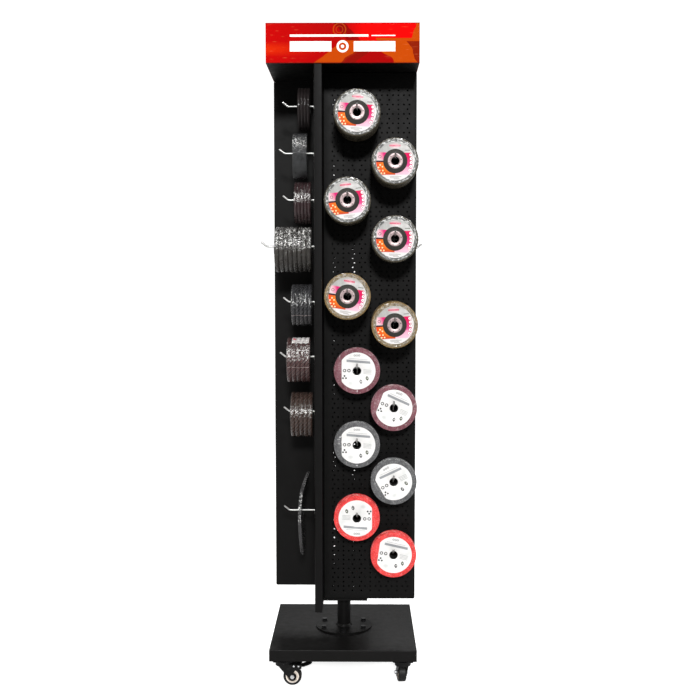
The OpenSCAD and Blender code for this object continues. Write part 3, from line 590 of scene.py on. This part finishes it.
def pegboard_mesh():
    """Front pegboard with its folded edges; rows of holes 25 mm and 15 mm apart alternate."""
    low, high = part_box("panel_front")
    left, right = low.x, high.x
    face_y, back_y = low.y, high.y
    lowest_row = frame_hole_row()
    rows = [lowest_row + i * ROW_STEP for i in range(ROWS)]
    wide = [k * WIDE_PITCH for k in range(-1, 8)]
    narrow = [k * NARROW_PITCH for k in range(-2, 13)]
    field_left = wide[0] - WIDE_PITCH / 2
    field_right = wide[-1] + WIDE_PITCH / 2
    cuts = {field_left, field_right}
    for centres, pitch in ((wide, WIDE_PITCH), (narrow, NARROW_PITCH)):
        for x in centres:
            cuts.update((x, x + pitch / 2, x - pitch / 2))
    cuts = sorted({round(x, 6) for x in cuts})
    between_rows = [rows[0] + (i - 0.5) * ROW_STEP for i in range(ROWS + 1)]
    levels = [low.z + BEND] + between_rows + [high.z - BEND]
    edge_left, edge_right = left + BEND, right - BEND
    columns = [edge_left] + cuts + [edge_right]

    bm = bmesh.new()
    made = {}

    def at(x, y, z):
        key = (round(x, 6), round(y, 6), round(z, 6))
        if key not in made:
            made[key] = bm.verts.new((x, y, z))
        return made[key]

    def flat(points):
        bm.faces.new([at(x, face_y, z) for x, z in points])

    def holed_cell(x, z, pitch):
        z0, z1 = z - ROW_STEP / 2, z + ROW_STEP / 2
        x0, x1 = x - pitch / 2, x + pitch / 2
        rightward = [c for c in cuts if x - 1e-6 <= c <= x1 + 1e-6]
        leftward = [c for c in reversed(cuts) if x0 - 1e-6 <= c <= x + 1e-6]
        half_turn = [math.pi * i * 2 / HOLE_SIDES for i in range(HOLE_SIDES // 2 + 1)]
        arc = [(HOLE_R * math.sin(a), HOLE_R * math.cos(a)) for a in half_turn]
        flat([(c, z0) for c in rightward] + [(c, z1) for c in reversed(rightward)]
             + [(x + a, z + b) for a, b in arc])
        flat([(c, z1) for c in leftward] + [(c, z0) for c in reversed(leftward)]
             + [(x - a, z - b) for a, b in arc])

    for index, z in enumerate(rows):
        centres, pitch = (wide, WIDE_PITCH) if index % 2 == 0 else (narrow, NARROW_PITCH)
        for x in centres:
            holed_cell(x, z, pitch)
    for z0, z1 in zip(levels, levels[1:]):
        flat([(edge_left, z0), (field_left, z0), (field_left, z1), (edge_left, z1)])
        flat([(field_right, z0), (edge_right, z0), (edge_right, z1), (field_right, z1)])
    for z0, z1 in (levels[:2], levels[-2:]):
        for x0, x1 in zip(cuts, cuts[1:]):
            flat([(x0, z0), (x1, z0), (x1, z1), (x0, z1)])

    turn = [math.pi / 2 * i / BEND_STEPS for i in range(BEND_STEPS + 1)]
    fold = [(BEND * math.sin(t), face_y + BEND - BEND * math.cos(t)) for t in turn] + [(BEND, back_y)]
    for (out0, y0), (out1, y1) in zip(fold, fold[1:]):
        for z0, z1 in zip(levels, levels[1:]):
            bm.faces.new([at(edge_right + out0, y0, z0), at(edge_right + out1, y1, z0),
                          at(edge_right + out1, y1, z1), at(edge_right + out0, y0, z1)])
            bm.faces.new([at(edge_left - out0, y0, z1), at(edge_left - out1, y1, z1),
                          at(edge_left - out1, y1, z0), at(edge_left - out0, y0, z0)])
        for x0, x1 in zip(columns, columns[1:]):
            top, bottom = levels[-1], levels[0]
            bm.faces.new([at(x0, y0, top + out0), at(x1, y0, top + out0),
                          at(x1, y1, top + out1), at(x0, y1, top + out1)])
            bm.faces.new([at(x0, y1, bottom - out1), at(x1, y1, bottom - out1),
                          at(x1, y0, bottom - out0), at(x0, y0, bottom - out0)])
    outer = bpy.data.meshes.new("pegboard_skin")
    bm.to_mesh(outer)
    bm.free()
    return thickened(outer, SHEET, "pegboard")


def frame_hole_row():
    """Height of the lowest row of peg holes, counted down from the hole mount in steps of a row pair."""
    mount = next(m for m in frame["record"]["mounts"] if m["name"] == "hook_holes")
    height = mount["pos_m"][2]
    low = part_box("panel_front")[0].z
    pair = 2 * ROW_STEP
    return height - pair * math.floor((height - low - HOLE_R - BEND) / pair)


def add_pegboards(coat):
    mesh = pegboard_mesh()
    for side, turn in SIDES.items():
        board = finished(f"pegboard_{side}", mesh, "carousel", [coat],
                         Matrix.Rotation(math.radians(turn), 4, "Z"))
        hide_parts(f"panel_{side}")


# ---------- packs of discs ----------

FLAP, PLATE, LABEL, CONE, HUB, BORE = range(6)
FULL_RADIUS = 62.5 * MM  # of a flap disc
HUB_ZONE_R = 35 * MM  # inside it a smaller disc has the same cone and hub


def side_rings(bm, count, radius, length, discs, profile, flutes, depth, skew, rough, rng):
    """Rings down the outside of a stack, each disc with the profile, its own start and a small shift."""
    rings = []
    thick = length / discs
    for disc in range(discs):
        shift = rng.uniform(-rough, rough)
        start = rng.random()
        for share, drop in profile:
            def reach(angle, share=share, drop=drop, shift=shift, start=start):
                tooth = (angle / (2 * math.pi) * flutes + share * skew + start) % 1.0 if flutes else 0.0
                return radius - drop * MM - depth * tooth - abs(shift)
            y = (disc + share) * thick
            rings.append(ring(bm, reach, y, count))
    return rings


def stack_mesh(name, radius, length, discs, profile, face, segments=144, flutes=0, depth=0.0, skew=1.0,
               rough=0.0003, bow=0.0, lean=0.0, seed=1):
    """A stack of discs round an open bore, from its outer face at y = 0, facing -Y, back along +Y.
    face lists (radius or function, y, material) from the rim inwards; a material is that of the band it
    ends. bow and lean bend the whole stack by its height above or below the bore."""
    rng = random.Random(seed)
    bm = bmesh.new()
    sides = side_rings(bm, segments, radius, length, discs, profile, flutes, depth, skew, rough, rng)
    for first, second in zip(sides, sides[1:]):
        skin(bm, second, first, FLAP)
    last = sides[0]
    for reach, y, material in face:
        here = ring(bm, reach, y, segments)
        skin(bm, last, here, material)
        last = here
    back = ring(bm, BORE_R, length, segments)
    skin(bm, last, back, BORE)
    skin(bm, back, sides[-1], PLATE)
    if bow:
        for vert in bm.verts:
            height = vert.co.z / radius
            vert.co.y += height ** 2 * (bow + lean * height)
    bmesh.ops.recalc_face_normals(bm, faces=bm.faces)
    mesh = bpy.data.meshes.new(name)
    bm.to_mesh(mesh)
    bm.free()
    smooth(mesh, 40)
    return mesh


def flap_face(radius):
    """Bands of a flap disc's back: plate, ring label, raised cone, hub ring, bore."""
    scale = radius / FULL_RADIUS
    bands = [(57.0, 0.1, PLATE), (50.2, 0.0, PLATE), (50.0, -0.2, LABEL), (31.6, -0.2, LABEL),
             (31.4, -0.3, CONE), (21.0, -3.6, CONE), (20.0, -3.9, HUB), (12.0, -3.9, HUB),
             (11.0, -3.4, HUB)]
    return [(r * MM * (scale if r * MM > HUB_ZONE_R else 1), y * MM, m) for r, y, m in bands]


def fibre_face(radius, cut=41 * MM):
    """Bands of a fibre disc's face with a round label that has one straight side."""
    def label(reach, inset):
        def at(angle):
            across = -math.sin(angle)
            limit = (cut - inset) / across if across > 1e-6 else reach
            return min(reach - inset, limit)
        return at
    edge = radius * 0.8
    return [(radius - 0.8 * MM, -0.05 * MM, FLAP), (label(edge, -0.1 * MM), 0.0, FLAP),
            (label(edge, 0.0), -0.25 * MM, LABEL), (11.6 * MM, -0.25 * MM, LABEL), (BORE_R, 0.2 * MM, CONE)]


def cutter_label_radius(radius):
    return min(radius * 0.62, 52 * MM)


def cutter_face(radius):
    """Bands of a thin cutting disc: grit, round label, metal ring."""
    label = cutter_label_radius(radius)
    return [(radius - 1.0 * MM, 0.0, PLATE), (label + 0.1 * MM, 0.0, PLATE), (label, -0.2 * MM, LABEL),
            (17.0 * MM, -0.2 * MM, LABEL), (16.6 * MM, -0.5 * MM, HUB), (11.4 * MM, -0.5 * MM, HUB),
            (BORE_R, 0.0, HUB)]


# Edge profiles of one disc: share of its thickness, and drop from the full radius in millimetres
FLAP_PROFILE = [(0.0, 4.0), (0.13, 3.8), (0.17, 0.9), (0.45, 0.1), (0.86, 0.5), (0.97, 2.6)]
THIN_PROFILE = [(0.0, 0.5), (0.2, 0.0), (0.8, 0.0), (0.98, 0.5)]
RIB_PROFILE = [(0.0, 2.4), (0.12, 0.9), (0.35, 0.1), (0.68, 0.2), (0.9, 1.2), (0.99, 3.0)]
SOFT_PROFILE = [(0.0, 0.7), (0.3, 0.1), (0.7, 0.1), (0.98, 0.7)]


def hang(name, mesh, box, materials, roll=0.0):
    """Puts a copy of a stack where its CAD solid is, turned about its own axis by roll degrees."""
    turn, _, _, face = outward(*box)
    matrix = Matrix.Translation(face) @ Matrix.Rotation(math.radians(turn), 4, "Z")
    matrix = matrix @ Matrix.Rotation(math.radians(roll), 4, "Y")
    return finished(name, mesh, "carousel", materials, matrix)


def side_name(box):
    return next(side for side, turn in SIDES.items() if turn == outward(*box)[0])


def add_front_packs(shared):
    """Flap-disc and fibre-disc packs on the front and the back."""
    grey_flaps = abrasive("grey_flaps", (0.050, 0.042, 0.026), film=0.5, crease=0.6)
    grey_backing = backing("grey_backing", (0.085, 0.085, 0.080), 0.65)
    tan_flaps = abrasive("tan_flaps", (0.20, 0.13, 0.048), film=0.5, crease=0.6)
    tan_backing = backing("tan_backing", (0.17, 0.125, 0.065), 0.25)
    kinds = {
        "grey_flap_packs": ("grey_abrasive", grey_flaps, grey_backing),
        "tan_flap_packs": ("tan_abrasive", tan_flaps, tan_backing),
    }
    rolls = [4, 0, -6, 2, 9, -3]
    label = flap_label("flap_label")
    mesh = None
    number = 0
    for node, (slot, flaps, plate) in kinds.items():
        kind = node.removesuffix("_packs")
        first = None
        for box in solids(node):
            _, length, radius, _ = outward(*box)
            if mesh is None:
                mesh = stack_mesh("flap_stack", radius, length, 9, FLAP_PROFILE, flap_face(radius),
                                  flutes=48, depth=1.1 * MM, skew=0.9)
            materials = [flaps, plate, label, shared["cone"], shared["hub"], shared["bore"]]
            piece = hang(f"{kind}_{side_name(box)}_{number}", mesh, box, materials,
                         rolls[(number // 2) % len(rolls)])
            first = first or piece
            number += 1
        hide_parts(node)
    fibres = {
        "maroon_fibre_packs": ("maroon_fibre", (0.155, 0.042, 0.058), (0, 20)),
        "grey_fibre_packs": ("grey_fibre", (0.075, 0.075, 0.078), (0, -30)),
        "red_fibre_packs": ("red_fibre", (0.72, 0.022, 0.020), (180, 8)),
    }
    label = fibre_label("fibre_label")
    mesh = None
    for node, (slot, colour, turns) in fibres.items():
        fibre = abrasive(f"{slot}_face", colour, grain=1.2, crease=0.7, painted_glint=0.35)
        kind = node.removesuffix("_packs")
        first = None
        for index, box in enumerate(solids(node)):
            _, length, radius, _ = outward(*box)
            if mesh is None:
                mesh = stack_mesh("fibre_stack", radius, length, 26, THIN_PROFILE, fibre_face(radius),
                                  segments=120, rough=0.0005)
            materials = [fibre, fibre, label, shared["bore"], shared["hub"], shared["bore"]]
            piece = hang(f"{kind}_{side_name(box)}_{index}", mesh, box, materials,
                         turns[index // 2])
            first = first or piece
        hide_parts(node)


def add_side_packs(shared):
    """Packs on the left and right sides; each place down the side has a stack of its own.
    A plan's film, crease, painted glint strength, band, teeth, seam and sticker go to abrasive. Its depth,
    bow and lean are in millimetres."""
    red = (0.45, 0.02, 0.02)
    blue_grey = (0.12, 0.14, 0.17)
    plans = {
        "slim_disc_packs": [
            # Painted shade: this top pack's colour is darkened for the header's shadow that falls on it.
            dict(colour=(0.008, 0.005, 0.005), discs=4, profile=RIB_PROFILE, tint=red,
                 film=0.3, crease=0.3, painted_glint=0.0, band=(0.0, 0.1)),
            dict(colour=(0.024, 0.010, 0.011), discs=5, profile=RIB_PROFILE, tint=red,
                 film=1.0, crease=0.7, painted_glint=0.95, band=(0.06, 0.36)),
        ],
        "grey_side_packs": [
            dict(colour=(0.022, 0.023, 0.024), discs=14, profile=SOFT_PROFILE, tint=blue_grey,
                 film=1.0, crease=0.3, painted_glint=0.85, band=(0.32, 0.62)),
            dict(colour=(0.019, 0.016, 0.013), discs=8, profile=FLAP_PROFILE, flutes=40, depth=1.4,
                 film=1.0, crease=1.2, painted_glint=1.0, band=(0.10, 0.90)),
            dict(colour=(0.020, 0.020, 0.022), discs=5, profile=RIB_PROFILE, flutes=30, depth=2.2,
                 film=1.0, crease=0.6, painted_glint=0.95, band=(0.10, 0.28), teeth=30, seam=104),
        ],
        "brown_side_packs": [
            dict(colour=(0.052, 0.023, 0.022), discs=5, profile=RIB_PROFILE, flutes=30, depth=2.2,
                 film=1.0, crease=0.7, painted_glint=0.9, band=(0.12, 0.55), teeth=30, seam=114, sticker=True),
            dict(colour=(0.034, 0.018, 0.013), discs=5, profile=RIB_PROFILE, flutes=30, depth=2.2,
                 film=1.0, crease=0.6, painted_glint=0.9, band=(0.10, 0.30), teeth=30),
        ],
        "large_disc_packs": [
            dict(colour=(0.026, 0.025, 0.026), discs=3, profile=SOFT_PROFILE, tint=red, bow=11.5, lean=7.5,
                 film=1.0, crease=0.8, painted_glint=0.9, band=(0.05, 0.62)),
        ],
    }
    for node, rows in plans.items():
        first = None
        boxes = solids(node)
        for row, plan in enumerate(rows):
            name = f"{node.removesuffix('_packs')}_{row}"
            pair = boxes[2 * row:2 * row + 2]
            _, length, radius, _ = outward(*pair[0])
            fluted = "flutes" in plan
            face = flap_face(radius) if fluted else cutter_face(radius)
            mesh = stack_mesh(name, radius, length, plan["discs"], plan["profile"], face, segments=120,
                              flutes=plan.get("flutes", 0), depth=plan.get("depth", 0.0) * MM, skew=1.3,
                              bow=plan.get("bow", 0.0) * MM, lean=plan.get("lean", 0.0) * MM, seed=row + 5)
            cloth = abrasive(f"{name}_cloth", plan["colour"], film=plan["film"], crease=plan["crease"],
                             painted_glint=plan["painted_glint"], band=plan["band"], teeth=plan.get("teeth", 0),
                             disc=length / plan["discs"], sticker=length if "sticker" in plan else 0.0,
                             seam=plan.get("seam", 0.0))
            if fluted:
                label, cone = shared["flap_label"], shared["cone"]
            else:
                label = cutter_label(f"{name}_label", plan["tint"], cutter_label_radius(radius))
                cone = shared["bore"]
            for box in pair:
                materials = [cloth, cloth, label, cone, shared["hub"], shared["bore"]]
                piece = hang(f"{name}_{side_name(box)}", mesh, box, materials, 12 * row - 8)
                first = first or piece
        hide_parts(node)


# ---------- rivets of the caster forks ----------

RIVET_SIDES = 16
RIVET_DOME = [(3.3, 0.0), (3.3, 0.7), (2.9, 1.5), (2.0, 2.2), (0.9, 2.5)]
RIVET_PLACES = [(29.0, 54.5), (42.0, 54.5)]
FORK_HALF_WIDTH = 14.0


def rivet_ring(bm, across, up, outward_y, reach):
    """A ring of points round a rivet. All the lengths are in millimetres."""
    turns = [i * 2 * math.pi / RIVET_SIDES for i in range(RIVET_SIDES)]
    points = [(across + reach * math.cos(a), outward_y, up + reach * math.sin(a)) for a in turns]
    return [bm.verts.new(Vector(point) * MM) for point in points]


def add_fork_rivets(metal):
    """Two domed rivets on each side of every caster fork, above the brake pedal's arm."""
    bm = bmesh.new()
    for across, up in RIVET_PLACES:
        for side in (-1, 1):
            loops = [rivet_ring(bm, across, up, side * (FORK_HALF_WIDTH + rise), reach)
                     for reach, rise in RIVET_DOME]
            for first, second in zip(loops, loops[1:]):
                skin(bm, first, second, 0)
            bm.faces.new(loops[-1])
            bm.faces.new(loops[0])
    bmesh.ops.recalc_face_normals(bm, faces=bm.faces)
    mesh = bpy.data.meshes.new("fork_rivets")
    bm.to_mesh(mesh)
    bm.free()
    smooth(mesh, 50)
    joints = {joint["name"]: joint for joint in frame["record"]["behaviour"]["joints"]}
    for corner in ("fl", "fr", "rl", "rr"):
        pivot = Vector(joints[f"swivel_{corner}"]["pos_m"])
        axle = Vector(joints[f"roll_{corner}"]["pos_m"])
        heading = math.atan2(axle.y - pivot.y, axle.x - pivot.x)
        matrix = Matrix.Translation((pivot.x, pivot.y, 0)) @ Matrix.Rotation(heading, 4, "Z")
        finished(f"fork_rivets_{corner}", mesh, f"caster_{corner}", [metal], matrix)


# ---------- finishes of the carried-over CAD nodes ----------

def coat_nodes(names, material, round_edges=0.0):
    """Gives CAD nodes a material, and edges that catch the light if round_edges is given."""
    for name in names:
        piece = frame["nodes"][name]
        piece.data.materials.clear()
        piece.data.materials.append(material)
        if round_edges:
            weld = piece.modifiers.new("weld", "WELD")
            weld.merge_threshold = 0.02 * MM
            bevel = piece.modifiers.new("edge", "BEVEL")
            bevel.width = round_edges
            bevel.segments = 2
            bevel.limit_method = "ANGLE"
            bevel.angle_limit = math.radians(50)
            bevel.harden_normals = False


def nodes_with(*starts):
    return [name for name in frame["nodes"] if name.startswith(starts)]


# ---------- stage ----------

def add_stage():
    floor_mesh = bpy.data.meshes.new("floor")
    half = 12.0
    corners = [(-half, -half, 0), (half, -half, 0), (half, half, 0), (-half, half, 0)]
    floor_mesh.from_pydata(corners, [], [(0, 1, 2, 3)])
    floor = bpy.data.objects.new("floor", floor_mesh)
    bpy.context.scene.collection.objects.link(floor)
    f = Finish("pale_floor", roughness=0.8)
    f.set("Base Color", f.mix(f.noise(0.6, 2.0), (0.82, 0.82, 0.82), (0.78, 0.78, 0.78)))
    ray = f.node("ShaderNodeLightPath").outputs["Is Camera Ray"]
    f.set("Emission Color", (1, 1, 1, 1))
    f.set("Emission Strength", f.math("MULTIPLY", ray, 0.75))
    floor_mesh.materials.append(f.material)

    world = bpy.data.worlds.new("studio")
    bpy.context.scene.world = world
    world.use_nodes = True
    tree = world.node_tree
    seen = tree.nodes.new("ShaderNodeBackground")
    seen.inputs["Color"].default_value = (1, 1, 1, 1)
    seen.inputs["Strength"].default_value = 1.15
    lit = tree.nodes["Background"]
    lit.inputs["Color"].default_value = (1.0, 0.99, 0.98, 1)
    lit.inputs["Strength"].default_value = 0.16
    path = tree.nodes.new("ShaderNodeLightPath")
    mix = tree.nodes.new("ShaderNodeMixShader")
    tree.links.new(path.outputs["Is Camera Ray"], mix.inputs[0])
    tree.links.new(lit.outputs[0], mix.inputs[1])
    tree.links.new(seen.outputs[0], mix.inputs[2])
    tree.links.new(mix.outputs[0], tree.nodes["World Output"].inputs["Surface"])


def add_lamp(name, kind, energy, direction, distance=3.0, size=1.0, aim=(0, 0, 0.9)):
    """A lamp on the given heading (degrees to the right of the front, degrees up), aimed at a point."""
    data = bpy.data.lights.new(name, kind)
    data.energy = energy
    if kind == "SUN":
        data.angle = math.radians(size)
    else:
        data.size = size
    lamp = bpy.data.objects.new(name, data)
    bpy.context.scene.collection.objects.link(lamp)
    heading, up = (math.radians(a) for a in direction)
    towards = Vector((math.sin(heading) * math.cos(up), -math.cos(heading) * math.cos(up), math.sin(up)))
    lamp.location = Vector(aim) + towards * distance
    lamp.rotation_mode = "QUATERNION"
    lamp.rotation_quaternion = towards.to_track_quat("Z", "Y")


def add_camera():
    """Camera in front of the stand at chest height, looking a little down."""
    down, left = 3.988, 0.515
    data = bpy.data.cameras.new("camera")
    data.sensor_width = 36.0
    data.lens = 53.1
    camera = bpy.data.objects.new("camera", data)
    bpy.context.scene.collection.objects.link(camera)
    camera.location = (0.0438, -2.9266, 1.1116)
    camera.rotation_euler = (math.radians(90 - down), 0, math.radians(left))
    bpy.context.scene.camera = camera


# ---------- build ----------

coat = powder_coat("powder_coat")
base_coat = powder_coat("base_powder_coat", 0.005, 0.38)
coat_nodes(["fin_covers", "bottom_plate", "lower_hub", "upper_hub", "stop_collar", "post_flange", "post"],
           coat)
coat_nodes(["base_tray"], base_coat, 1.2 * MM)
coat_nodes(["header_box", "header_lid"], coat, 0.8 * MM)
coat_nodes(["base_rails", "deck_stiffener"], base_coat)
coat_nodes(["header_graphics"], header_print("header_print"))
zinc = brushed_metal("zinc", (0.74, 0.75, 0.77), 0.28)
coat_nodes(["caster_kingpins", "caster_balls", "collar_screw", "m5_screws", "header_bolts"], zinc)
coat_nodes(nodes_with("axle_"), zinc)
# Painted shade: the zinc plates and bolts under the base are painted near black for the shadow they sit in.
coat_nodes(["caster_plates", "caster_bolts"], brushed_metal("zinc_painted_in_shade", (0.016, 0.016, 0.018), 0.6))
coat_nodes(["flange_bolts"], brushed_metal("black_oxide", (0.05, 0.05, 0.052), 0.4))
coat_nodes(["thrust_washer", "lower_bush", "upper_bush"], brushed_metal("bronze", (0.55, 0.38, 0.18), 0.35))
coat_nodes(["post_cap"], plastic("cap_plastic", (0.02, 0.02, 0.02), 0.5))
coat_nodes(nodes_with("fork_", "brake_pedal_"), enamel("caster_enamel", 0.0045, 0.3))
coat_nodes(nodes_with("wheel_core_"), plastic("cream_nylon", (0.78, 0.70, 0.62), 0.42))
coat_nodes(nodes_with("tyre_"), rubber("tyre_rubber"))
coat_nodes(["short_hooks", "medium_hooks", "long_hooks"],
           brushed_metal("zinc_wire", (0.38, 0.38, 0.37), 0.32, (400, 400, 400)))

shared_finishes = {
    "cone": plastic("hub_cone", (0.014, 0.012, 0.008), 0.7),
    "hub": hub_metal("hub_ring"),
    "bore": plastic("bore_shade", (0.012, 0.012, 0.012), 0.7),
}
shared_finishes["flap_label"] = flap_label("side_flap_label")

add_pegboards(coat)
add_fork_rivets(zinc)
add_front_packs(shared_finishes)
add_side_packs(shared_finishes)

add_stage()
add_lamp("key", "SUN", 2.5, (3, 22), size=7.0)
add_lamp("high_soft", "AREA", 42.0, (-10, 46), distance=3.2, size=0.42, aim=(0, 0, 1.2))
add_lamp("left_soft", "AREA", 16.0, (-60, 12), distance=3.2, size=1.4, aim=(0, 0, 1.3))
add_lamp("right_soft", "AREA", 8.0, (62, 20), distance=3.2, size=1.4)
add_lamp("rear_soft", "AREA", 48.0, (175, 35), distance=3.5, size=2.0)
add_lamp("right_rear_soft", "AREA", 38.0, (104, 16), distance=3.2, size=1.4, aim=(0, 0, 1.1))
add_lamp("left_rear_soft", "AREA", 26.0, (-108, 16), distance=3.2, size=1.4, aim=(0, 0, 1.1))
add_camera()

scene = bpy.context.scene
scene.view_settings.view_transform = "Standard"
